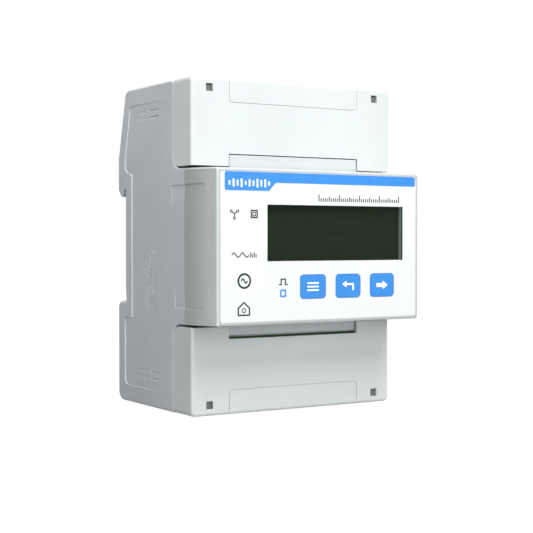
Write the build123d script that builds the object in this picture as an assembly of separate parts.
"""Smart electric meter for a 35 mm top-hat rail, four modules (72 mm) wide.

Millimetres. +X is to the right seen from the front, -Y points out of the display face and +Z is up.
The origin is the centre of the rail seat: the plane that the rail's brim bears on, at mid height.
Each node is one separate piece, or one group of identical pieces.
"""

import os

from build123d import *

# Envelope of the case
WIDTH = 72.0
HALF_WIDTH = WIDTH / 2
HALF_HEIGHT = 50.0
NOSE_FRONT_Y = -59.5
NOSE_HALF_HEIGHT = 22.5
ROOT_HALF_HEIGHT = 23.4
COVER_FRONT_Y = -44.4
COVER_SEAM_Y = -32.6
NOSE_SPLIT_Y = -39.7
REAR_Y = 6.0
EDGE_RADIUS = 1.0
NOSE_FRONT_RADIUS = 0.8
SEAM_CURVE_RADIUS = 3.8
SEAM_EDGE_RADIUS = 0.6

# Height of the nose where it meets the base, on its even slope from front to root
SPLIT_SHARE = (NOSE_SPLIT_Y - NOSE_FRONT_Y) / (COVER_SEAM_Y - NOSE_FRONT_Y)
SPLIT_HALF_HEIGHT = NOSE_HALF_HEIGHT + SPLIT_SHARE * (ROOT_HALF_HEIGHT - NOSE_HALF_HEIGHT)

# Wall thicknesses and cavities
WALL = 2.0
REAR_WALL = 3.0
CAVITY_HALF_WIDTH = HALF_WIDTH - WALL
CAVITY_HALF_HEIGHT = NOSE_HALF_HEIGHT - WALL
BAY_INNER_Z = 24.5
BAY_OUTER_Z = HALF_HEIGHT - WALL
CAVITY_REAR_Y = -REAR_WALL
FIT_GAP = 0.1
SLIDE_GAP = 0.05

# Rail interface
SEAT_HALF_HEIGHT = 15.6
SEAT_RELIEF = 0.3
RECESS_BOTTOM_Z = -17.8
HOOK_POCKET_Z = 18.5
HOOK_TIP_Z = 15.9

# Raised lip around the upper wire entries
LIP_HALF_WIDTH = 33.0
LIP_Y = (-19.8, -8.7)
LIP_HEIGHT = 0.5

# Terminal covers
COVER_WALL = 1.8
COVER_INNER_Z = 23.8
COVER_SEAM_GAP = 0.25
COVER_CORNER_RADIUS = 1.5
COVER_NOTCH_HALF_WIDTH = 23.4
UPPER_NOTCH_Z = 27.5
LOWER_NOTCH_Z = 27.55
SEAL_HOLE_SIDE = 2.3
SEAL_HOLE_X = 30.0
SEAL_HOLE_Z = 46.8
SEAL_POST_RECESS = 0.9
SCORE_HALF_WIDTH = 23.4
SCORE_INNER_Z = 42.6
SCORE_LINE = 0.25
SCORE_DEPTH = 0.15
PEG_X = 17.0
PEG_Z = 37.0
PEG_RADIUS = 1.5
PEG_TIP_Y = -28.0
SOCKET_BOTTOM_Y = -27.0

# Nose tabs that fill the cover notches
TAB_HALF_WIDTH = 23.1
UPPER_TAB_FRONT_Y = -44.2
UPPER_TAB_END_Z = 27.2
LOWER_TAB_FRONT_Y = -43.4
LOWER_TAB_END_Z = 27.0
LOWER_TAB_CHAMFER = 0.6
TAB_THICKNESS = 1.9

# Front film, window and keys
FILM_THICKNESS = 0.25
FILM_HALF_WIDTH = 34.9
FILM_HALF_HEIGHT = 21.5
FILM_CORNER = 1.0
FILM_REAR_Y = NOSE_FRONT_Y + FILM_THICKNESS
NOSE_INNER_Y = NOSE_FRONT_Y + WALL
WINDOW_X = (-19.3, 29.8)
WINDOW_Z = (-4.2, 12.15)
WINDOW_FLANGE = 0.8
WINDOW_REAR_Y = -58.3
KEY_WIDTH = 9.05
KEY_HEIGHT = 7.05
KEY_RADIUS = 1.2
KEY_GAP = 0.1
KEY_Z = -11.8
KEY_XS = {"menu": -3.5, "back": 9.2, "next": 21.9}
KEY_FLANGE = 0.6
KEY_FLANGE_REAR_Y = -56.7
KEY_STEM_RADIUS = 1.4
LIGHT_PIPE_X = -13.97
LIGHT_PIPE_Z = -13.55
LIGHT_PIPE_SIDE = 1.4

# Boards
DISPLAY_BOARD_Y = (-50.6, -49.0)
DISPLAY_BOARD_HALF = (33.0, 19.5)
MAIN_BOARD_Y = (-30.0, -28.4)
MAIN_BOARD_HALF = (33.3, 20.2)
MAIN_TONGUE_HALF_WIDTH = 24.0
MAIN_TONGUE_END_Z = -32.5
DISPLAY_POST = (31.2, 17.4, 1.9)
MAIN_POST = (31.8, 18.2, 1.9)
BOARD_SCREW_RADIUS = 0.9
BOARD_SCREW_HEAD_RADIUS = 1.8
BOARD_SCREW_HEAD_HEIGHT = 1.4
BOARD_SCREW_LENGTH = 6.0

# Switches
SWITCH_SIDE = 6.0
SWITCH_FRONT_Y = -54.1
SWITCH_STEM_FRONT_Y = -54.9
SWITCH_STEM_RADIUS = 1.6

# Display stack
LCD_X = (-21.0, 31.4)
LCD_Z = (-5.2, 13.2)
LCD_LEDGE_Z = -6.0
LCD_GLASS = 1.1
LCD_FRAME_X = (-22.2, 32.2)
LCD_FRAME_Z = (-6.3, 14.3)
LCD_PIN_COUNT = 20
LCD_PIN_PITCH = 2.54

# Power terminals
POLE_PITCH = 17.0
POLE_XS = [POLE_PITCH * (i - 1.5) for i in range(4)]
PHASE_XS = POLE_XS[:3]
TUNNEL_WIDTH = 12.0
TUNNEL_Y = (-26.0, -12.0)
TUNNEL_Z = (29.0, 43.0)
WIRE_AXIS_Y = -19.0
WIRE_BORE_RADIUS = 4.3
WIRE_ENTRY_RADIUS = 4.75
CLAMP_SCREW_RADIUS = 2.95
CLAMP_SCREW_Z = 36.0
CLAMP_SCREW_Y = (-30.0, -23.4)
SCREW_ACCESS_RADIUS = 3.5
BLOCK_FRONT_Y = -32.4
BLOCK_REAR_Y = -10.0
BUSBAR_WIDTH = 8.0
BUSBAR_Y = (-15.0, -13.0)
CT_RADIUS = 7.75
CT_BORE_RADIUS = 4.6
CT_HALF_LENGTH = 4.5
CT_AXIS_Y = -14.0

# Signal terminals
SIGNAL_POLES = 9
SIGNAL_PITCH = 5.08
SIGNAL_FRONT_Y = -41.0
SIGNAL_Z = (-32.5, -24.6)
SIGNAL_SCREW_Z = -28.6
SIGNAL_WIRE_Z = -30.95

# Rail clip
CLIP_HALF_WIDTH = 11.0
CLIP_FLANGE_HALF_WIDTH = 12.9
CLIP_Y = (-0.9, 4.5)
CLIP_FLANGE_Y = (-0.9, 1.2)
CLIP_END_Z = -49.8
CLIP_JAW_Y = (1.2, 3.8)
CLIP_JAW_TOP_Z = -15.8
CHANNEL_FLOOR_Y = -1.0
SPRING_WINDOW_Z = (-44.05, -30.0)
SPRING_LUG_Z = (-44.0, -42.0)
SPRING_WIRE_RADIUS = 0.25
SPRING_MEAN_RADIUS = 1.8
SPRING_AXIS_Y = 1.6
SPRING_TURNS = 7


def block(xs, ys, zs):
    """Box between two corners, given as (low, high) pairs."""
    size = [high - low for low, high in (xs, ys, zs)]
    middle = [(high + low) / 2 for low, high in (xs, ys, zs)]
    return Pos(*middle) * Box(*size)


def centred(x, z, width, height, ys):
    """Box centred on x and z that spans ys in depth."""
    return block((x - width / 2, x + width / 2), ys, (z - height / 2, z + height / 2))


def rod_y(x, z, radius, ys):
    """Cylinder along Y."""
    low, high = ys
    return Pos(x, (low + high) / 2, z) * Rot(90, 0, 0) * Cylinder(radius, high - low)


def rod_z(x, y, radius, zs):
    """Cylinder along Z."""
    low, high = zs
    return Pos(x, y, (low + high) / 2) * Cylinder(radius, high - low)


def rod_x(y, z, radius, xs):
    """Cylinder along X."""
    low, high = xs
    return Pos((low + high) / 2, y, z) * Rot(0, 90, 0) * Cylinder(radius, high - low)


def rounded(x, z, width, height, radius, ys):
    """Plate with rounded corners, centred on x and z, that spans ys in depth."""
    low, high = ys
    outline = Plane.XZ * Pos(x, z) * RectangleRounded(width, height, radius)
    return Pos(0, high, 0) * extrude(outline, high - low)


def side_profile(corners, half_width):
    """Prism along X from (y, z, fillet radius) corners."""
    outline = Plane.YZ * Polyline([(y, z) for y, z, _ in corners], close=True)
    face = make_face(outline).face()
    for y, z, radius in corners:
        if radius:
            corner = face.vertices().sort_by_distance((0, y, z))[0]
            face = face.fillet_2d(radius, [corner])
    return extrude(face, half_width, both=True)


def side_groove(path, width, depth):
    """Tools that cut one line of the given (y, z) path into both side faces."""
    line = Plane.YZ * trace(Polyline(path), line_width=width)
    right = Pos(HALF_WIDTH - depth, 0, 0) * extrude(line, 2 * depth)
    return right + mirror(right, Plane.YZ)


def four(x, z):
    """The four sign combinations of one corner position."""
    return [(sx * x, sz * z) for sx in (-1, 1) for sz in (-1, 1)]


def joined(pieces):
    """Fuse a list of overlapping or touching shapes."""
    result = pieces[0]
    for piece in pieces[1:]:
        result = result + piece
    return result


def cut_all(body, tools):
    """Subtract each tool in turn."""
    for tool in tools:
        body = body - tool
    return body


def group(pieces):
    """Separate solids that share one node."""
    solids = [solid for piece in pieces for solid in piece.solids()]
    return Compound(children=solids)


def slotted_screw(x, z, radius, ys, head_radius, head_height, slot):
    """Screw along Y whose head is at the low-Y end."""
    low, high = ys
    body = rod_y(x, z, radius, (low + head_height, high))
    body = body + rod_y(x, z, head_radius, (low, low + head_height))
    return body - centred(x, z, 2.2 * head_radius, slot, (low - 1, low + head_height / 2))


def leaded_chip(x, z, side_x, side_z, height, board_y, facing, leads, both_ways):
    """Chip on a board face with its rows of leads. facing is -1 towards the front."""
    low, high = sorted((board_y, board_y + facing * height))
    chip = centred(x, z, side_x, side_z, (low, high))
    foot = sorted((board_y, board_y + facing * height / 2))
    pitch = 0.8 if leads > 4 else 1.27
    for i in range(leads):
        offset = pitch * (i - (leads - 1) / 2)
        chip = chip + centred(x + offset, z, 0.4, side_z + 2.0, foot)
        if both_ways:
            chip = chip + centred(x, z + offset, side_x + 2.0, 0.4, foot)
    return chip


# Case -----------------------------------------------------------------------------------------

SIDE_OUTLINE = [
    (-28.0, 44.5), (-3.9, 44.5), (-2.8, 43.6), (0.7, 27.7), (0.8, 24.8), (-1.2, 23.4),
    (-3.4, 23.0), (-4.2, 22.2), (-4.2, -22.7), (0.2, -22.7), (1.0, -23.6), (1.0, -43.2),
    (-0.4, -44.5), (-28.0, -44.5),
]
PANEL_DEPTH = 0.35
NOSE_PANEL_DEPTH = 0.3
NOSE_PANEL_FADE = 7.0
NOSE_PANEL_TOP = [
    (-31.7, 20.1), (-33.4, 18.9), (-34.6, 18.4), (-51.2, 18.4), (-52.6, 17.6),
    (-52.6, 18.4 - NOSE_PANEL_FADE), (-31.7, 18.4 - NOSE_PANEL_FADE),
]
NOSE_PANEL_BOTTOM = [
    (-33.8, -18.3), (-51.6, -18.3),
    (-51.6, -18.3 + NOSE_PANEL_FADE), (-33.8, -18.3 + NOSE_PANEL_FADE),
]
SIDE_BARS = [
    (y, z) for z in (41.8, 39.8, -39.0, -41.0) for y in (-11.4, -20.1)
]
SIDE_BAR_LENGTH = 6.2
SIDE_LINE_WIDTH = 0.45
SIDE_LINE_DEPTH = 0.3
WHEEL_Y = -17.0
MOULD_WHEELS = [(-5.2, 4.6), (-15.6, 4.0)]
WHEEL_HUB_SHARE = 0.6
WHEEL_TICKS = 12


def side_panel(outline, axis, shallow, deep, depth):
    """Tools that sink a (y, z) outline into both side faces.

    The floor slopes along the axis, from flush at shallow to the full depth at deep.
    """
    region = extrude(make_face(Plane.YZ * Polyline(outline, close=True)), 2, both=True)
    plane = Plane.XY if axis == "Y" else Plane.XZ
    floor = [
        (HALF_WIDTH, shallow),
        (HALF_WIDTH + 3, shallow),
        (HALF_WIDTH + 3, deep),
        (HALF_WIDTH - depth, deep),
    ]
    wedge = extrude(make_face(plane * Polyline(floor, close=True)), 2 * HALF_HEIGHT, both=True)
    right = Pos(HALF_WIDTH, 0, 0) * region & wedge
    return [right, mirror(right, Plane.YZ)]


def mould_wheel(z, radius, xs):
    """Plain mould date wheel without figures: two rings, ticks between them and a pointer."""
    hub = radius * WHEEL_HUB_SHARE
    rings = [
        rod_x(WHEEL_Y, z, size, xs) - rod_x(WHEEL_Y, z, size - SIDE_LINE_WIDTH, xs)
        for size in (radius, hub)
    ]
    ticks = []
    for i in range(WHEEL_TICKS):
        low, high = hub + 0.2, radius - SIDE_LINE_WIDTH - 0.3
        tick = block(xs, (-0.15, 0.15), (low, high))
        ticks.append(Pos(0, WHEEL_Y, z) * Rot(360 * i / WHEEL_TICKS, 0, 0) * tick)
    pointer = Pos(0, WHEEL_Y, z) * block(xs, (-0.3, 0.3), (-hub * 0.5, hub * 0.55))
    return rings + ticks + [pointer]


def side_marks():
    """Shallow panels, short bars and date wheels moulded into both side faces."""
    front_y, rear_y = SIDE_OUTLINE[0][0], max(y for y, z in SIDE_OUTLINE)
    top_z, bottom_z = NOSE_PANEL_TOP[2][1], NOSE_PANEL_BOTTOM[0][1]
    top_fade_z, bottom_fade_z = top_z - NOSE_PANEL_FADE, bottom_z + NOSE_PANEL_FADE
    tools = side_panel(SIDE_OUTLINE, "Y", front_y, rear_y, PANEL_DEPTH)
    tools += side_panel(NOSE_PANEL_TOP, "Z", top_fade_z, top_z, NOSE_PANEL_DEPTH)
    tools += side_panel(NOSE_PANEL_BOTTOM, "Z", bottom_fade_z, bottom_z, NOSE_PANEL_DEPTH)
    for y, z in SIDE_BARS:
        ends = [(y - SIDE_BAR_LENGTH / 2, z), (y + SIDE_BAR_LENGTH / 2, z)]
        tools.append(side_groove(ends, 0.8, SIDE_LINE_DEPTH))
    for z, radius in MOULD_WHEELS:
        for side in (-1, 1):
            outer, inner = side * (HALF_WIDTH + 1), side * (HALF_WIDTH - SIDE_LINE_DEPTH)
            tools += mould_wheel(z, radius, tuple(sorted((outer, inner))))
    return tools


def base_shell():
    """Outer shape of the base: terminal towers, nose root, rail recess and fixed hook."""
    shell = side_profile(
        [
            (NOSE_SPLIT_Y, -SPLIT_HALF_HEIGHT, 0),
            (COVER_SEAM_Y, -ROOT_HALF_HEIGHT, SEAM_CURVE_RADIUS),
            (COVER_SEAM_Y, -HALF_HEIGHT, 0),
            (REAR_Y, -HALF_HEIGHT, 3.0),
            (REAR_Y, RECESS_BOTTOM_Z, 2.0),
            (-SEAT_RELIEF, RECESS_BOTTOM_Z, 0),
            (-SEAT_RELIEF, -SEAT_HALF_HEIGHT, 0),
            (0, -SEAT_HALF_HEIGHT, 0),
            (0, SEAT_HALF_HEIGHT, 0),
            (-SEAT_RELIEF, SEAT_HALF_HEIGHT, 0),
            (-SEAT_RELIEF, HOOK_POCKET_Z, 0),
            (1.1, HOOK_POCKET_Z, 0),
            (2.7, HOOK_TIP_Z, 0),
            (4.2, HOOK_TIP_Z, 0),
            (REAR_Y, 18.2, 1.2),
            (REAR_Y, 28.0, 4.0),
            (0.4, HALF_HEIGHT, 3.0),
            (COVER_SEAM_Y, HALF_HEIGHT, 0),
            (COVER_SEAM_Y, ROOT_HALF_HEIGHT, SEAM_CURVE_RADIUS),
            (NOSE_SPLIT_Y, SPLIT_HALF_HEIGHT, 0),
        ],
        HALF_WIDTH,
    )
    side_edges = [
        edge
        for edge in shell.edges()
        if abs(abs(edge.center().X) - HALF_WIDTH) < 0.01
        and edge.length > 2.5
        and not (edge.center().Y > -0.5 and abs(edge.center().Z) < 21.0)
        and abs(edge.center().Y - COVER_SEAM_Y) > 0.5
        and abs(edge.center().Y - NOSE_SPLIT_Y) > 0.01
        and not (edge.center().Y < COVER_SEAM_Y)
    ]
    shell = fillet(side_edges, EDGE_RADIUS)
    seam_edges = [
        edge
        for edge in shell.edges()
        if abs(abs(edge.center().X) - HALF_WIDTH) < 0.01
        and edge.center().Y < COVER_SEAM_Y + 0.01
        and abs(edge.center().Y - NOSE_SPLIT_Y) > 0.01
    ]
    return fillet(seam_edges, SEAM_EDGE_RADIUS)


def rear_pockets():
    """Lightening pockets in the two thick shoulders beside the rail recess."""
    tools = []
    for x in (-29.0, -20.2, -8.8, 0.0, 8.8, 20.2, 29.0):
        width = 7.0 if abs(x) < 25 else 6.0
        tools.append(centred(x, 32.5, width, 23.0, (-0.6, REAR_Y + 1)))
    for x in (-29.0, -20.2, 20.2, 29.0):
        tools.append(centred(x, -33.5, 6.6, 25.0, (-0.6, REAR_Y + 1)))
    return tools


def clip_channel():
    """Guide in the lower shoulder that the rail clip slides in."""
    zs = (-HALF_HEIGHT - 1, RECESS_BOTTOM_Z + 0.01)
    narrow_half = CLIP_HALF_WIDTH + FIT_GAP
    wide_half = CLIP_FLANGE_HALF_WIDTH + FIT_GAP
    narrow = block((-narrow_half, narrow_half), (CHANNEL_FLOOR_Y, REAR_Y + 1), zs)
    wide = block((-wide_half, wide_half), (CHANNEL_FLOOR_Y, CLIP_FLANGE_Y[1] + FIT_GAP), zs)
    return narrow + wide


def make_base():
    """Base housing: everything behind the cover seams."""
    base = base_shell()
    cavity = block(
        (-CAVITY_HALF_WIDTH, CAVITY_HALF_WIDTH),
        (NOSE_SPLIT_Y - 1, CAVITY_REAR_Y),
        (-CAVITY_HALF_HEIGHT, CAVITY_HALF_HEIGHT),
    )
    bay = block(
        (-CAVITY_HALF_WIDTH, CAVITY_HALF_WIDTH),
        (COVER_SEAM_Y - 1, CAVITY_REAR_Y),
        (BAY_INNER_Z, BAY_OUTER_Z),
    )
    base = cut_all(base, [cavity, bay, mirror(bay, Plane.XY), clip_channel()] + rear_pockets())

    # Recesses inside the side walls that take the front housing's catches
    for sign in (-1, 1):
        for z in (-11.0, 11.0):
            catch = centred(sign * CAVITY_HALF_WIDTH, z, 1.2, 6.4, (-38.8, -37.4))
            base = base - catch

    # Ribs under the terminal blocks, posts for the board and saddles for the transformers
    additions = []
    for x in (-PEG_X, 0.0, PEG_X):
        for sign in (-1, 1):
            zs = sorted((sign * (BAY_INNER_Z - 0.5), sign * (BAY_OUTER_Z + 0.5)))
            additions.append(block((x - 1, x + 1), (BLOCK_REAR_Y, CAVITY_REAR_Y + 0.5), zs))
    post_x, post_z, post_radius = MAIN_POST
    for x, z in four(post_x, post_z):
        additions.append(rod_y(x, z, post_radius, (MAIN_BOARD_Y[1], CAVITY_REAR_Y + 0.5)))
    for x in PHASE_XS:
        saddle = centred(x, 0, 9.0, 2 * CT_HALF_LENGTH - 0.4, (-8.4, CAVITY_REAR_Y + 0.5))
        saddle = saddle - rod_z(x, CT_AXIS_Y, CT_RADIUS, (-CT_HALF_LENGTH, CT_HALF_LENGTH))
        additions.append(saddle)
    additions.append(block((-2.7, 2.7), (CHANNEL_FLOOR_Y - 0.5, 3.4), SPRING_LUG_Z))
    lip_zs = (HALF_HEIGHT - 0.5, HALF_HEIGHT + LIP_HEIGHT)
    lip = block((-LIP_HALF_WIDTH, LIP_HALF_WIDTH), LIP_Y, lip_zs)
    additions.append(chamfer(lip.faces().sort_by(Axis.Z)[-1].edges(), 0.3))
    base = joined([base] + additions)

    for x, z in four(post_x, post_z):
        base = base - rod_y(x, z, BOARD_SCREW_RADIUS + SLIDE_GAP, (MAIN_BOARD_Y[1] - 1, -19.0))

    # Wire entries, busbar slots and the slot for the main board's tongue
    for x in POLE_XS:
        for sign in (-1, 1):
            zs = sorted((sign * (BAY_OUTER_Z - 1), sign * (HALF_HEIGHT + 2)))
            base = base - rod_z(x, WIRE_AXIS_Y, WIRE_ENTRY_RADIUS, zs)
            wall = sorted((sign * (CAVITY_HALF_HEIGHT - 1), sign * (BAY_INNER_Z + 1)))
            half = BUSBAR_WIDTH / 2 + FIT_GAP
            ys = (BUSBAR_Y[0] - FIT_GAP, BUSBAR_Y[1] + FIT_GAP)
            base = base - block((x - half, x + half), ys, wall)
    tongue_half = MAIN_TONGUE_HALF_WIDTH + FIT_GAP
    tongue_ys = (MAIN_BOARD_Y[0] - FIT_GAP, MAIN_BOARD_Y[1] + FIT_GAP)
    wall = (-BAY_INNER_Z - 1, -CAVITY_HALF_HEIGHT + 1)
    base = base - block((-tongue_half, tongue_half), tongue_ys, wall)
    return cut_all(base, side_marks())


def make_front():
    """Front housing: the nose, open at the rear, with a lip that fits inside the base."""
    nose = side_profile(
        [
            (NOSE_FRONT_Y, -NOSE_HALF_HEIGHT, 0),
            (NOSE_SPLIT_Y, -SPLIT_HALF_HEIGHT, 0),
            (NOSE_SPLIT_Y, SPLIT_HALF_HEIGHT, 0),
            (NOSE_FRONT_Y, NOSE_HALF_HEIGHT, 0),
        ],
        HALF_WIDTH,
    )
    long_edges = [
        edge
        for edge in nose.edges()
        if abs(abs(edge.center().X) - HALF_WIDTH) < 0.01
        and abs(edge.center().Z) > NOSE_HALF_HEIGHT - 1
    ]
    nose = fillet(long_edges, SEAM_EDGE_RADIUS)
    nose = fillet(nose.faces().sort_by(Axis.Y)[0].edges(), NOSE_FRONT_RADIUS)
    inside = block(
        (-CAVITY_HALF_WIDTH, CAVITY_HALF_WIDTH),
        (NOSE_INNER_Y, NOSE_SPLIT_Y + 5),
        (-CAVITY_HALF_HEIGHT, CAVITY_HALF_HEIGHT),
    )
    nose = nose - inside

    lip_half_width = CAVITY_HALF_WIDTH - FIT_GAP
    lip_half_height = CAVITY_HALF_HEIGHT - FIT_GAP
    lip_ys = (NOSE_SPLIT_Y - 2.0, NOSE_SPLIT_Y + 2.6)
    lip = centred(0, 0, 2 * lip_half_width, 2 * lip_half_height, lip_ys)
    lip = lip - centred(0, 0, 2 * lip_half_width - 2.4, 2 * lip_half_height - 2.4, (-60, -30))
    root = centred(0, 0, 2 * CAVITY_HALF_WIDTH, 2 * CAVITY_HALF_HEIGHT, (lip_ys[0], NOSE_SPLIT_Y))
    root = root - centred(0, 0, 2 * lip_half_width - 2.4, 2 * lip_half_height - 2.4, (-60, -30))
    nose = nose + lip + root
    for sign in (-1, 1):
        for z in (-11.0, 11.0):
            nose = nose + centred(sign * (lip_half_width - 0.2), z, 1.2, 6.0, (-38.6, -37.6))

    tab_xs = (-TAB_HALF_WIDTH, TAB_HALF_WIDTH)
    upper_ys = (UPPER_TAB_FRONT_Y, UPPER_TAB_FRONT_Y + TAB_THICKNESS)
    lower_ys = (LOWER_TAB_FRONT_Y, LOWER_TAB_FRONT_Y + TAB_THICKNESS)
    nose = nose + block(tab_xs, upper_ys, (NOSE_HALF_HEIGHT - 1, UPPER_TAB_END_Z))
    lower_tab = block(tab_xs, lower_ys, (-LOWER_TAB_END_Z, -NOSE_HALF_HEIGHT + 1))
    front_edge = lower_tab.edges().filter_by(Axis.X).group_by(Axis.Z)[0].sort_by(Axis.Y)[0]
    nose = nose + chamfer(front_edge, LOWER_TAB_CHAMFER)

    post_x, post_z, post_radius = DISPLAY_POST
    for x, z in four(post_x, post_z):
        nose = nose + rod_y(x, z, post_radius, (NOSE_INNER_Y - 0.5, DISPLAY_BOARD_Y[0]))
    for x, z in four(post_x, post_z):
        hole_ys = (NOSE_INNER_Y + 0.6, DISPLAY_BOARD_Y[1])
        nose = nose - rod_y(x, z, BOARD_SCREW_RADIUS + SLIDE_GAP, hole_ys)

    # Film recess, window rebate and opening, key holes and light pipe hole
    film_ys = (NOSE_FRONT_Y - 1, FILM_REAR_Y)
    film_size = (2 * FILM_HALF_WIDTH + 0.1, 2 * FILM_HALF_HEIGHT + 0.1)
    nose = nose - rounded(0, 0, *film_size, FILM_CORNER + 0.05, film_ys)
    nose = nose - window_outline(WINDOW_FLANGE + SLIDE_GAP, (NOSE_FRONT_Y - 1, WINDOW_REAR_Y))
    nose = nose - window_outline(0, (NOSE_FRONT_Y - 1, NOSE_INNER_Y + 1))
    through = (NOSE_FRONT_Y - 1, NOSE_INNER_Y + 1)
    for x in KEY_XS.values():
        nose = nose - key_outline(x, KEY_GAP, through)
    pipe_side = LIGHT_PIPE_SIDE + 2 * SLIDE_GAP
    nose = nose - centred(LIGHT_PIPE_X, LIGHT_PIPE_Z, pipe_side, pipe_side, through)
    return cut_all(nose, side_marks())


def window_outline(margin, ys):
    """Block with the display window's outline, grown by margin."""
    xs = (WINDOW_X[0] - margin, WINDOW_X[1] + margin)
    zs = (WINDOW_Z[0] - margin, WINDOW_Z[1] + margin)
    return block(xs, ys, zs)


def key_outline(x, margin, ys):
    """Block with one key's outline, grown by margin."""
    width = KEY_WIDTH + 2 * margin
    height = KEY_HEIGHT + 2 * margin
    return rounded(x, KEY_Z, width, height, KEY_RADIUS + margin, ys)


def make_film():
    """Printed front film with openings for the window, the keys and the pulse light."""
    ys = (NOSE_FRONT_Y, FILM_REAR_Y)
    film = rounded(0, 0, 2 * FILM_HALF_WIDTH, 2 * FILM_HALF_HEIGHT, FILM_CORNER, ys)
    through = (NOSE_FRONT_Y - 1, FILM_REAR_Y + 1)
    film = film - window_outline(SLIDE_GAP, through)
    for x in KEY_XS.values():
        film = film - key_outline(x, KEY_GAP, through)
    pipe_side = LIGHT_PIPE_SIDE + 2 * SLIDE_GAP
    return film - centred(LIGHT_PIPE_X, LIGHT_PIPE_Z, pipe_side, pipe_side, through)


def make_window():
    """Clear pane: a flange under the film and a centre flush with it."""
    pane = window_outline(WINDOW_FLANGE, (FILM_REAR_Y, WINDOW_REAR_Y))
    return pane + window_outline(0, (NOSE_FRONT_Y, FILM_REAR_Y))


def make_key(x):
    """One push key: face, retaining flange behind the wall and stem."""
    key = key_outline(x, 0, (NOSE_FRONT_Y, NOSE_INNER_Y))
    flange_width = KEY_WIDTH + 2 * KEY_FLANGE
    flange_height = KEY_HEIGHT + 2 * KEY_FLANGE
    flange_ys = (NOSE_INNER_Y, KEY_FLANGE_REAR_Y)
    key = key + centred(x, KEY_Z, flange_width, flange_height, flange_ys)
    return key + rod_y(x, KEY_Z, KEY_STEM_RADIUS, (KEY_FLANGE_REAR_Y, SWITCH_STEM_FRONT_Y))


def make_light_pipe():
    """Clear pipe that brings the pulse light to the front film."""
    ys = (NOSE_FRONT_Y, -52.9)
    pipe = centred(LIGHT_PIPE_X, LIGHT_PIPE_Z, LIGHT_PIPE_SIDE, LIGHT_PIPE_SIDE, ys)
    return pipe + centred(LIGHT_PIPE_X, LIGHT_PIPE_Z, 3.0, 3.0, (NOSE_INNER_Y, -56.7))


def make_cover(notch_z):
    """Upper terminal cover. The lower one is its mirror image with its own notch depth."""
    rear_y = COVER_SEAM_Y - COVER_SEAM_GAP
    cover = side_profile(
        [
            (COVER_FRONT_Y, COVER_INNER_Z, 0),
            (rear_y, COVER_INNER_Z, SEAM_CURVE_RADIUS),
            (rear_y, HALF_HEIGHT, 0),
            (COVER_FRONT_Y, HALF_HEIGHT, 0),
        ],
        HALF_WIDTH,
    )
    upright = [
        edge
        for edge in cover.edges().filter_by(Axis.Y)
        if edge.center().Z > HALF_HEIGHT - 1
    ]
    cover = fillet(upright, COVER_CORNER_RADIUS)
    front = [
        edge
        for edge in cover.edges()
        if edge.center().Y < COVER_FRONT_Y + 0.01 and edge.center().Z > COVER_INNER_Z + 0.01
    ]
    cover = fillet(front, EDGE_RADIUS)
    inner_half = HALF_WIDTH - COVER_WALL
    hollow_ys = (COVER_FRONT_Y + COVER_WALL, rear_y + 1)
    hollow_zs = (COVER_INNER_Z - 1, HALF_HEIGHT - COVER_WALL)
    cover = cover - block((-inner_half, inner_half), hollow_ys, hollow_zs)

    through = (COVER_FRONT_Y - 1, COVER_FRONT_Y + COVER_WALL + 1)
    notch_half = COVER_NOTCH_HALF_WIDTH
    cover = cover - block((-notch_half, notch_half), through, (COVER_INNER_Z - 1, notch_z))
    for x in (-SEAL_HOLE_X, SEAL_HOLE_X):
        cover = cover - centred(x, SEAL_HOLE_Z, SEAL_HOLE_SIDE, SEAL_HOLE_SIDE, through)

    # Scored outline of the knock-out tab at the outer edge
    score_ys = (COVER_FRONT_Y - 1, COVER_FRONT_Y + SCORE_DEPTH)
    score_middle = (SCORE_INNER_Z + HALF_HEIGHT + 4) / 2
    score_height = HALF_HEIGHT + 4 - SCORE_INNER_Z
    outer = rounded(0, score_middle, 2 * SCORE_HALF_WIDTH, score_height, 1.5, score_ys)
    inner = rounded(
        0,
        score_middle,
        2 * (SCORE_HALF_WIDTH - SCORE_LINE),
        score_height - 2 * SCORE_LINE,
        1.5 - SCORE_LINE,
        score_ys,
    )
    cover = cover - (outer - inner)

    for x in (-PEG_X, PEG_X):
        peg_ys = (COVER_FRONT_Y + COVER_WALL - 0.5, PEG_TIP_Y)
        cover = cover + rod_y(x, PEG_Z, PEG_RADIUS, peg_ys)
    return cover


# Power terminals ------------------------------------------------------------------------------


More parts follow.
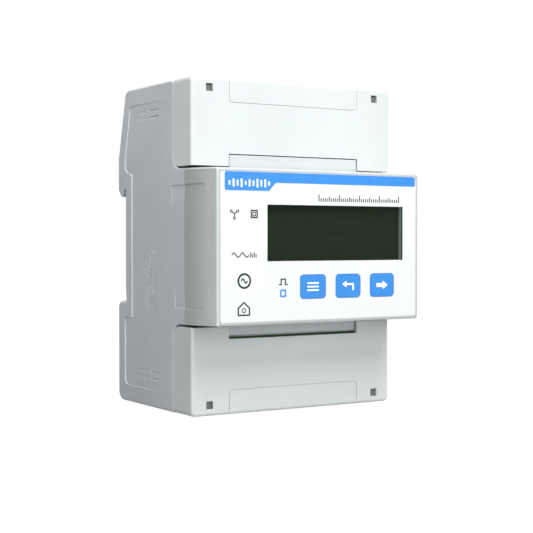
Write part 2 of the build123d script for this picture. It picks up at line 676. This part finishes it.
def make_terminal_block():
    """Upper insulating block with one cell for each pole."""
    body = block(
        (-CAVITY_HALF_WIDTH + FIT_GAP, CAVITY_HALF_WIDTH - FIT_GAP),
        (BLOCK_FRONT_Y, BLOCK_REAR_Y),
        (BAY_INNER_Z + FIT_GAP, BAY_OUTER_Z - FIT_GAP),
    )
    half_cell = TUNNEL_WIDTH / 2 + SLIDE_GAP
    for x in POLE_XS:
        cell_ys = (TUNNEL_Y[0] - SLIDE_GAP, TUNNEL_Y[1] + SLIDE_GAP)
        cell_zs = (TUNNEL_Z[0] - SLIDE_GAP, TUNNEL_Z[1] + SLIDE_GAP)
        body = body - block((x - half_cell, x + half_cell), cell_ys, cell_zs)
        body = body - rod_z(x, WIRE_AXIS_Y, WIRE_ENTRY_RADIUS, (TUNNEL_Z[1], HALF_HEIGHT))
        access_ys = (BLOCK_FRONT_Y - 1, TUNNEL_Y[0])
        body = body - rod_y(x, CLAMP_SCREW_Z, SCREW_ACCESS_RADIUS, access_ys)
        half_bar = BUSBAR_WIDTH / 2 + FIT_GAP
        bar_ys = (BUSBAR_Y[0] - FIT_GAP, BUSBAR_Y[1] + FIT_GAP)
        body = body - block((x - half_bar, x + half_bar), bar_ys, (BAY_INNER_Z, TUNNEL_Z[0]))
    for x in (-PEG_X, PEG_X):
        socket_ys = (BLOCK_FRONT_Y - 1, SOCKET_BOTTOM_Y)
        body = body - rod_y(x, PEG_Z, PEG_RADIUS + SLIDE_GAP, socket_ys)
    for x in (-SEAL_HOLE_X, SEAL_HOLE_X):
        side = SEAL_HOLE_SIDE - 2 * FIT_GAP
        post_ys = (COVER_FRONT_Y + SEAL_POST_RECESS, BLOCK_FRONT_Y + 0.5)
        body = body + centred(x, SEAL_HOLE_Z, side, side, post_ys)
    return body


def make_lower_terminal_block():
    """Lower block: the same, with a recess for the main board's tongue."""
    body = mirror(make_terminal_block(), Plane.XY)
    recess = block(
        (-MAIN_TONGUE_HALF_WIDTH - 0.5, MAIN_TONGUE_HALF_WIDTH + 0.5),
        (BLOCK_FRONT_Y - 1, MAIN_BOARD_Y[1] + SLIDE_GAP),
        (MAIN_TONGUE_END_Z - 0.2, -BAY_INNER_Z),
    )
    return body - recess


def make_tunnels():
    """Tunnel clamps that take the supply wires, one for each pole."""
    half = TUNNEL_WIDTH / 2
    tunnels = []
    for x in POLE_XS:
        tunnel = block((x - half, x + half), TUNNEL_Y, TUNNEL_Z)
        tunnel = tunnel - rod_z(x, WIRE_AXIS_Y, WIRE_BORE_RADIUS, (TUNNEL_Z[0] - 1, TUNNEL_Z[1] + 1))
        screw_ys = (TUNNEL_Y[0] - 1, WIRE_AXIS_Y)
        tunnel = tunnel - rod_y(x, CLAMP_SCREW_Z, CLAMP_SCREW_RADIUS + SLIDE_GAP, screw_ys)
        tunnels.append(tunnel)
    return group(tunnels)


def make_clamp_screws():
    """Slotted clamping screws of the tunnels."""
    screws = []
    for x in POLE_XS:
        screw = rod_y(x, CLAMP_SCREW_Z, CLAMP_SCREW_RADIUS, CLAMP_SCREW_Y)
        slot_ys = (CLAMP_SCREW_Y[0] - 1, CLAMP_SCREW_Y[0] + 1.6)
        screw = screw - centred(x, CLAMP_SCREW_Z, 8.0, 1.2, slot_ys)
        screw = screw - centred(x, CLAMP_SCREW_Z, 1.2, 4.2, slot_ys)
        screws.append(screw)
    return group(screws)


def busbar(x):
    """Flat bar from the lower tunnel to the upper one."""
    half = BUSBAR_WIDTH / 2
    return block((x - half, x + half), BUSBAR_Y, (-TUNNEL_Z[0], TUNNEL_Z[0]))


def make_transformer_cases():
    """Round cases of the current transformers, hollow for their cores."""
    zs = (-CT_HALF_LENGTH, CT_HALF_LENGTH)
    inner_zs = (-CT_HALF_LENGTH + 1.2, CT_HALF_LENGTH - 1.2)
    cases = []
    for x in PHASE_XS:
        case = rod_z(x, CT_AXIS_Y, CT_RADIUS, zs) - rod_z(x, CT_AXIS_Y, CT_BORE_RADIUS, zs)
        void = rod_z(x, CT_AXIS_Y, CT_RADIUS - 0.8, inner_zs)
        void = void - rod_z(x, CT_AXIS_Y, CT_BORE_RADIUS + 0.8, inner_zs)
        cases.append(case - void)
    return group(cases)


def make_transformer_cores():
    """Wound ring cores inside the current transformer cases."""
    zs = (-CT_HALF_LENGTH + 1.2, CT_HALF_LENGTH - 1.2)
    cores = []
    for x in PHASE_XS:
        core = rod_z(x, CT_AXIS_Y, CT_RADIUS - 0.9, zs)
        cores.append(core - rod_z(x, CT_AXIS_Y, CT_BORE_RADIUS + 0.9, zs))
    return group(cores)


def make_transformer_leads():
    """Pairs of leads from each current transformer to the main board."""
    leads = []
    for x in PHASE_XS:
        for offset in (-2.5, 2.5):
            lead = rod_y(x + offset, 0, 0.4, (MAIN_BOARD_Y[1], CT_AXIS_Y - 5))
            leads.append(lead - rod_z(x, CT_AXIS_Y, CT_RADIUS, (-CT_HALF_LENGTH, CT_HALF_LENGTH)))
    return group(leads)


def make_sense_pins():
    """Pins that carry each pole's voltage to the main board."""
    return group([rod_y(x, 12.0, 0.6, (MAIN_BOARD_Y[1], BUSBAR_Y[0])) for x in POLE_XS])


# Signal terminals -----------------------------------------------------------------------------

SIGNAL_XS = [SIGNAL_PITCH * (i - (SIGNAL_POLES - 1) / 2) for i in range(SIGNAL_POLES)]
SIGNAL_SCREW_RADIUS = 1.0
SIGNAL_CLAMP_SIDE = 2.1


def make_signal_block():
    """Green terminal block on the main board's tongue, under the nose."""
    half = SIGNAL_POLES * SIGNAL_PITCH / 2
    body = block((-half, half), (SIGNAL_FRONT_Y, MAIN_BOARD_Y[0]), SIGNAL_Z)
    front_edge = body.edges().filter_by(Axis.X).sort_by(Axis.Y)[:2]
    body = chamfer(front_edge, 0.3)
    for x in SIGNAL_XS:
        screw_ys = (SIGNAL_FRONT_Y - 1, -33.0)
        body = body - rod_y(x, SIGNAL_SCREW_Z, SIGNAL_SCREW_RADIUS + SLIDE_GAP, screw_ys)
        side = SIGNAL_CLAMP_SIDE + 2 * SLIDE_GAP
        body = body - centred(x, SIGNAL_WIRE_Z, side, side, (SIGNAL_FRONT_Y - 1, -32.0))
    for x in [x + SIGNAL_PITCH / 2 for x in SIGNAL_XS[:-1]]:
        groove_zs = (SIGNAL_Z[0] - 1, SIGNAL_SCREW_Z + SIGNAL_SCREW_RADIUS)
        groove_ys = (SIGNAL_FRONT_Y - 1, SIGNAL_FRONT_Y + 0.5)
        body = body - block((x - 0.18, x + 0.18), groove_ys, groove_zs)
    return body


def make_signal_screws():
    """Small slotted screws of the signal terminals."""
    screws = []
    for x in SIGNAL_XS:
        screw = rod_y(x, SIGNAL_SCREW_Z, SIGNAL_SCREW_RADIUS, (-38.6, -33.0))
        screws.append(screw - centred(x, SIGNAL_SCREW_Z, 3.0, 0.4, (-39.6, -38.0)))
    return group(screws)


def make_signal_clamps():
    """Square clamps that line the wire entries of the signal terminals."""
    clamps = []
    for x in SIGNAL_XS:
        side = SIGNAL_CLAMP_SIDE
        clamp = centred(x, SIGNAL_WIRE_Z, side, side, (-39.2, -32.0))
        clamps.append(clamp - centred(x, SIGNAL_WIRE_Z, side - 0.6, side - 0.6, (-40.0, -32.6)))
    return group(clamps)


# Display and front board ----------------------------------------------------------------------

LCD_FRONT_Y = NOSE_INNER_Y
LCD_MIDDLE_Y = LCD_FRONT_Y + LCD_GLASS
LCD_REAR_Y = LCD_MIDDLE_Y + LCD_GLASS


def make_lcd_frame():
    """Frame between the display board and the LCD, open for the backlight."""
    frame = block(LCD_FRAME_X, (LCD_REAR_Y, DISPLAY_BOARD_Y[0]), LCD_FRAME_Z)
    opening = block((-19.6, 30.1), (LCD_REAR_Y - 1, DISPLAY_BOARD_Y[0] + 1), (-4.6, 12.6))
    return frame - opening


def make_backlight():
    """Light guide panel inside the frame."""
    return block((-19.5, 30.0), (LCD_REAR_Y + 0.3, DISPLAY_BOARD_Y[0]), (-4.5, 12.5))


def make_lcd_pins():
    """Contact pins from the LCD's ledge to the display board."""
    pins = []
    middle_x = (LCD_X[0] + LCD_X[1]) / 2
    for i in range(LCD_PIN_COUNT):
        x = middle_x + LCD_PIN_PITCH * (i - (LCD_PIN_COUNT - 1) / 2)
        xs = (x - 0.25, x + 0.25)
        stem_zs = (LCD_FRAME_Z[0] - 0.3, LCD_FRAME_Z[0])
        stem = block(xs, (LCD_MIDDLE_Y - 0.3, DISPLAY_BOARD_Y[0]), stem_zs)
        hook = block(xs, (LCD_MIDDLE_Y - 0.3, LCD_MIDDLE_Y), (stem_zs[0], LCD_Z[0] - 0.3))
        pins.append(stem + hook)
    return group(pins)


def make_display_board():
    """Board behind the display, held on the front housing's posts."""
    half_x, half_z = DISPLAY_BOARD_HALF
    board = centred(0, 0, 2 * half_x, 2 * half_z, DISPLAY_BOARD_Y)
    post_x, post_z, _ = DISPLAY_POST
    for x, z in four(post_x, post_z):
        board = board - rod_y(x, z, 1.1, (-52.0, -48.0))
    return board


def make_display_screws():
    """Screws that hold the display board, heads at the rear."""
    post_x, post_z, _ = DISPLAY_POST
    screws = []
    for x, z in four(post_x, post_z):
        rear = DISPLAY_BOARD_Y[1] + BOARD_SCREW_HEAD_HEIGHT
        screw = rod_y(x, z, BOARD_SCREW_RADIUS, (rear - BOARD_SCREW_LENGTH, rear))
        screw = screw + rod_y(x, z, BOARD_SCREW_HEAD_RADIUS, (DISPLAY_BOARD_Y[1], rear))
        screws.append(screw - centred(x, z, 4.0, 0.5, (rear - 0.6, rear + 1)))
    return group(screws)


def make_switches():
    """Tact switch bodies, one behind each key."""
    switches = []
    for x in KEY_XS.values():
        ys = (SWITCH_FRONT_Y, DISPLAY_BOARD_Y[0])
        switch = centred(x, KEY_Z, SWITCH_SIDE, SWITCH_SIDE, ys)
        hole_ys = (SWITCH_FRONT_Y - 1, SWITCH_FRONT_Y + 1.3)
        switches.append(switch - rod_y(x, KEY_Z, SWITCH_STEM_RADIUS + SLIDE_GAP, hole_ys))
    return group(switches)


def make_switch_stem(x):
    """Moving stem of one tact switch."""
    return rod_y(x, KEY_Z, SWITCH_STEM_RADIUS, (SWITCH_STEM_FRONT_Y, SWITCH_FRONT_Y + 0.9))


# Main board and its parts ---------------------------------------------------------------------

HEADER_PINS = 10
HEADER_PITCH = 2.54
HEADER_Z = -18.0
HEADER_HEIGHT = 2.4
HEADER_XS = [HEADER_PITCH * (i - (HEADER_PINS - 1) / 2) for i in range(HEADER_PINS)]
HEADER_LENGTH = HEADER_PINS * HEADER_PITCH + 0.4
CORE_MIDDLE = (-20.0, 9.0)


def make_main_board():
    """Main board on the base's posts, with a tongue for the signal terminals."""
    half_x, half_z = MAIN_BOARD_HALF
    board = centred(0, 0, 2 * half_x, 2 * half_z, MAIN_BOARD_Y)
    tongue_xs = (-MAIN_TONGUE_HALF_WIDTH, MAIN_TONGUE_HALF_WIDTH)
    board = board + block(tongue_xs, MAIN_BOARD_Y, (MAIN_TONGUE_END_Z, 0))
    post_x, post_z, _ = MAIN_POST
    for x, z in four(post_x, post_z):
        board = board - rod_y(x, z, 1.1, (-32.0, -27.0))
    return board


def make_main_screws():
    """Screws that hold the main board on the base's posts."""
    post_x, post_z, _ = MAIN_POST
    front = MAIN_BOARD_Y[0] - BOARD_SCREW_HEAD_HEIGHT
    screws = []
    for x, z in four(post_x, post_z):
        ys = (front, front + BOARD_SCREW_LENGTH)
        screws.append(
            slotted_screw(
                x, z, BOARD_SCREW_RADIUS, ys, BOARD_SCREW_HEAD_RADIUS, BOARD_SCREW_HEAD_HEIGHT, 0.5
            )
        )
    return group(screws)


def make_socket():
    """Socket strip on the main board."""
    strip = centred(0, HEADER_Z, HEADER_LENGTH, HEADER_HEIGHT, (-38.5, MAIN_BOARD_Y[0]))
    for x in HEADER_XS:
        strip = strip - centred(x, HEADER_Z, 0.74, 0.74, (-40.0, -32.0))
    return strip


def make_header_body():
    """Insulator of the pin strip on the display board."""
    body = centred(0, HEADER_Z, HEADER_LENGTH, HEADER_HEIGHT, (DISPLAY_BOARD_Y[1], -46.5))
    for x in HEADER_XS:
        body = body - centred(x, HEADER_Z, 0.64, 0.64, (-50.0, -46.0))
    return body


def make_header_pins():
    """Pins from the display board into the socket."""
    pins = [centred(x, HEADER_Z, 0.64, 0.64, (DISPLAY_BOARD_Y[1], -33.0)) for x in HEADER_XS]
    return group(pins)


def make_supply_core():
    """Ferrite core of the supply transformer."""
    x, z = CORE_MIDDLE
    core = centred(x, z, 18.0, 6.0, (-45.2, -32.0))
    for offset in (-4.25, 4.25):
        core = core - centred(x + offset, z, 3.5, 7.0, (-42.8, -34.4))
    return core


def make_supply_winding():
    """Winding around the core's centre limb."""
    x, z = CORE_MIDDLE
    winding = centred(x, z, 12.0, 13.0, (-42.8, -34.4))
    winding = fillet(winding.edges().filter_by(Axis.Y), 1.2)
    winding = winding - centred(x, z, 5.0, 6.0, (-43.0, -34.0))
    return winding


def make_supply_bobbin():
    """Bobbin foot between the core and the board, with its pins."""
    x, z = CORE_MIDDLE
    return centred(x, z, 15.0, 15.0, (-32.0, MAIN_BOARD_Y[0]))


def make_supply_capacitors():
    """Electrolytic capacitors with a crimp groove."""
    caps = []
    for x in (-3.5, 8.0):
        can = rod_y(x, 12.0, 5.0, (-44.0, MAIN_BOARD_Y[0]))
        ring = rod_y(x, 12.0, 6.0, (-33.2, -32.4)) - rod_y(x, 12.0, 4.7, (-33.2, -32.4))
        can = can - ring
        can = can - centred(x, 12.0, 6.0, 0.3, (-45.0, -43.8))
        caps.append(can - centred(x, 12.0, 0.3, 6.0, (-45.0, -43.8)))
    return group(caps)


def make_suppression_capacitor():
    """Box film capacitor across the supply."""
    cap = centred(24.0, 7.5, 13.0, 6.0, (-41.0, MAIN_BOARD_Y[0]))
    return fillet(cap.edges().filter_by(Axis.Y), 0.5)


def make_varistors():
    """Surge varistors, one for each phase, discs on two legs."""
    discs = []
    for x in (-26.0, -14.0, -2.0):
        disc = rod_z(x, -36.6, 4.5, (-10.0, -6.0))
        disc = fillet(disc.edges(), 0.8)
        for offset in (-2.5, 2.5):
            disc = disc + rod_y(x + offset, -8.0, 0.35, (-34.0, MAIN_BOARD_Y[0]))
        discs.append(disc)
    return group(discs)


def make_resistors():
    """Fusible supply resistors lying above the board on formed leads."""
    axis_y, z, lead = MAIN_BOARD_Y[0] - 2.2, -13.6, 0.6
    bodies = []
    for x in (-24.0, -9.0, 6.0):
        body = rod_x(axis_y, z, 1.5, (x - 4.0, x + 4.0))
        for side in (-1, 1):
            cap = sorted((x + side * 2.8, x + side * 4.4))
            body = body + rod_x(axis_y, z, 1.7, cap)
            tail = sorted((x + side * 4.2, x + side * 5.8))
            body = body + block(tail, (axis_y - 0.3, axis_y + 0.3), (z - 0.3, z + 0.3))
            body = body + centred(x + side * 5.5, z, lead, lead, (axis_y, MAIN_BOARD_Y[0]))
        bodies.append(body)
    return group(bodies)


def make_rectifier():
    """Bridge rectifier."""
    return leaded_chip(9.0, 3.0, 7.0, 5.0, 2.6, MAIN_BOARD_Y[0], -1, 2, False)


def make_optocouplers():
    """Optocouplers that isolate the pulse outputs."""
    chips = [
        leaded_chip(x, -15.6, 5.0, 4.4, 2.4, MAIN_BOARD_Y[0], -1, 3, False) for x in (17.4, 25.4)
    ]
    return group(chips)


def make_battery():
    """Coin cell behind the display board."""
    cell = rod_y(-20.0, -8.0, 8.0, (DISPLAY_BOARD_Y[1], -45.8))
    return cell - (rod_y(-20.0, -8.0, 8.5, (-46.4, -45.7)) - rod_y(-20.0, -8.0, 7.3, (-46.4, -45.7)))


def make_crystal():
    """Clock crystal in its can, on the display board."""
    can = rounded(15.0, -6.0, 10.0, 4.0, 1.9, (DISPLAY_BOARD_Y[1], -46.0))
    return can + rounded(15.0, -6.0, 10.8, 4.8, 2.3, (DISPLAY_BOARD_Y[1], -48.5))


# Rail clip ------------------------------------------------------------------------------------


def make_clip():
    """Sliding clip that holds the rail's lower brim."""
    zs = (CLIP_END_Z, RECESS_BOTTOM_Z - 0.2)
    clip = block((-CLIP_HALF_WIDTH, CLIP_HALF_WIDTH), CLIP_Y, zs)
    flange_half = CLIP_FLANGE_HALF_WIDTH
    clip = clip + block((-flange_half, flange_half), CLIP_FLANGE_Y, (CLIP_END_Z + 4, zs[1] - 2))
    jaw = side_profile(
        [
            (CLIP_JAW_Y[0], zs[1] - 1, 0),
            (CLIP_Y[1], zs[1] - 1, 0),
            (CLIP_Y[1], zs[1] + 0.2, 0),
            (CLIP_JAW_Y[0] + 1.0, CLIP_JAW_TOP_Z, 0),
            (CLIP_JAW_Y[0], CLIP_JAW_TOP_Z, 0),
        ],
        CLIP_HALF_WIDTH - 1.0,
    )
    clip = clip + jaw
    through = (CLIP_Y[0] - 1, CLIP_Y[1] + 1)
    clip = clip - block((-3.0, 3.0), through, SPRING_WINDOW_Z)
    clip = clip - block((-3.5, 3.5), through, (-48.6, -47.0))
    for x in (-7.5, 7.5):
        clip = clip - centred(x, -33.0, 4.0, 20.0, (1.6, CLIP_Y[1] + 1))
    return clip


def make_clip_spring():
    """Compression spring between the base's lug and the clip."""
    low = SPRING_LUG_Z[1] + SPRING_WIRE_RADIUS
    high = SPRING_WINDOW_Z[1] - SPRING_WIRE_RADIUS
    height = high - low
    path = Helix(height / SPRING_TURNS, height, SPRING_MEAN_RADIUS)
    section = Plane(origin=path @ 0, z_dir=path % 0) * Circle(SPRING_WIRE_RADIUS)
    return Pos(0, SPRING_AXIS_Y, low) * sweep(section, path, is_frenet=True)


# Nodes ----------------------------------------------------------------------------------------


def build_nodes():
    """Every node by name."""
    upper_cover = make_cover(UPPER_NOTCH_Z)
    lower_cover = mirror(make_cover(LOWER_NOTCH_Z), Plane.XY)
    tunnels = make_tunnels()
    clamp_screws = make_clamp_screws()
    lcd_front = block(LCD_X, (LCD_FRONT_Y, LCD_MIDDLE_Y), LCD_Z)
    lcd_rear = block(LCD_X, (LCD_MIDDLE_Y, LCD_REAR_Y), (LCD_LEDGE_Z, LCD_Z[1]))
    board_front = MAIN_BOARD_Y[0]
    board_rear = DISPLAY_BOARD_Y[1]
    nodes = {
        "base_housing": make_base(),
        "front_housing": make_front(),
        "upper_terminal_cover": upper_cover,
        "lower_terminal_cover": lower_cover,
        "label_film": make_film(),
        "display_window": make_window(),
        "pulse_light_pipe": make_light_pipe(),
        "lcd_front_glass": lcd_front,
        "lcd_rear_glass": lcd_rear,
        "lcd_frame": make_lcd_frame(),
        "lcd_pins": make_lcd_pins(),
        "backlight_panel": make_backlight(),
        "display_board": make_display_board(),
        "display_board_screws": make_display_screws(),
        "tact_switches": make_switches(),
        "pulse_led": centred(LIGHT_PIPE_X, LIGHT_PIPE_Z, 1.6, 1.6, (-52.5, DISPLAY_BOARD_Y[0])),
        "processor_chip": leaded_chip(0.0, 4.0, 10.0, 10.0, 1.6, board_rear, 1, 11, True),
        "memory_chip": leaded_chip(15.0, 4.0, 5.0, 4.0, 1.6, board_rear, 1, 4, False),
        "clock_crystal": make_crystal(),
        "backup_battery": make_battery(),
        "board_header": make_header_body(),
        "board_header_pins": make_header_pins(),
        "board_socket": make_socket(),
        "main_board": make_main_board(),
        "main_board_screws": make_main_screws(),
        "metering_chip": leaded_chip(20.0, -4.5, 8.0, 8.0, 1.6, board_front, -1, 9, True),
        "serial_transceiver": leaded_chip(8.5, -6.0, 5.0, 4.0, 1.6, board_front, -1, 4, False),
        "pulse_optocouplers": make_optocouplers(),
        "bridge_rectifier": make_rectifier(),
        "supply_transformer_core": make_supply_core(),
        "supply_transformer_winding": make_supply_winding(),
        "supply_transformer_bobbin": make_supply_bobbin(),
        "supply_capacitors": make_supply_capacitors(),
        "suppression_capacitor": make_suppression_capacitor(),
        "surge_varistors": make_varistors(),
        "fusible_resistors": make_resistors(),
        "phase_busbars": group([busbar(x) for x in PHASE_XS]),
        "neutral_busbar": busbar(POLE_XS[3]),
        "current_transformer_cases": make_transformer_cases(),
        "current_transformer_cores": make_transformer_cores(),
        "current_transformer_leads": make_transformer_leads(),
        "voltage_sense_pins": make_sense_pins(),
        "upper_terminal_block": make_terminal_block(),
        "lower_terminal_block": make_lower_terminal_block(),
        "upper_terminal_tunnels": tunnels,
        "lower_terminal_tunnels": mirror(tunnels, Plane.XY),
        "upper_terminal_screws": clamp_screws,
        "lower_terminal_screws": mirror(clamp_screws, Plane.XY),
        "signal_terminal_block": make_signal_block(),
        "signal_terminal_screws": make_signal_screws(),
        "signal_terminal_clamps": make_signal_clamps(),
        "rail_clip": make_clip(),
        "rail_clip_spring": make_clip_spring(),
    }
    for name, x in KEY_XS.items():
        nodes[f"{name}_button"] = make_key(x)
        nodes[f"{name}_switch_stem"] = make_switch_stem(x)
    return nodes


os.makedirs("parts", exist_ok=True)
for node_name, shape in build_nodes().items():
    export_step(shape, f"parts/{node_name}.step")
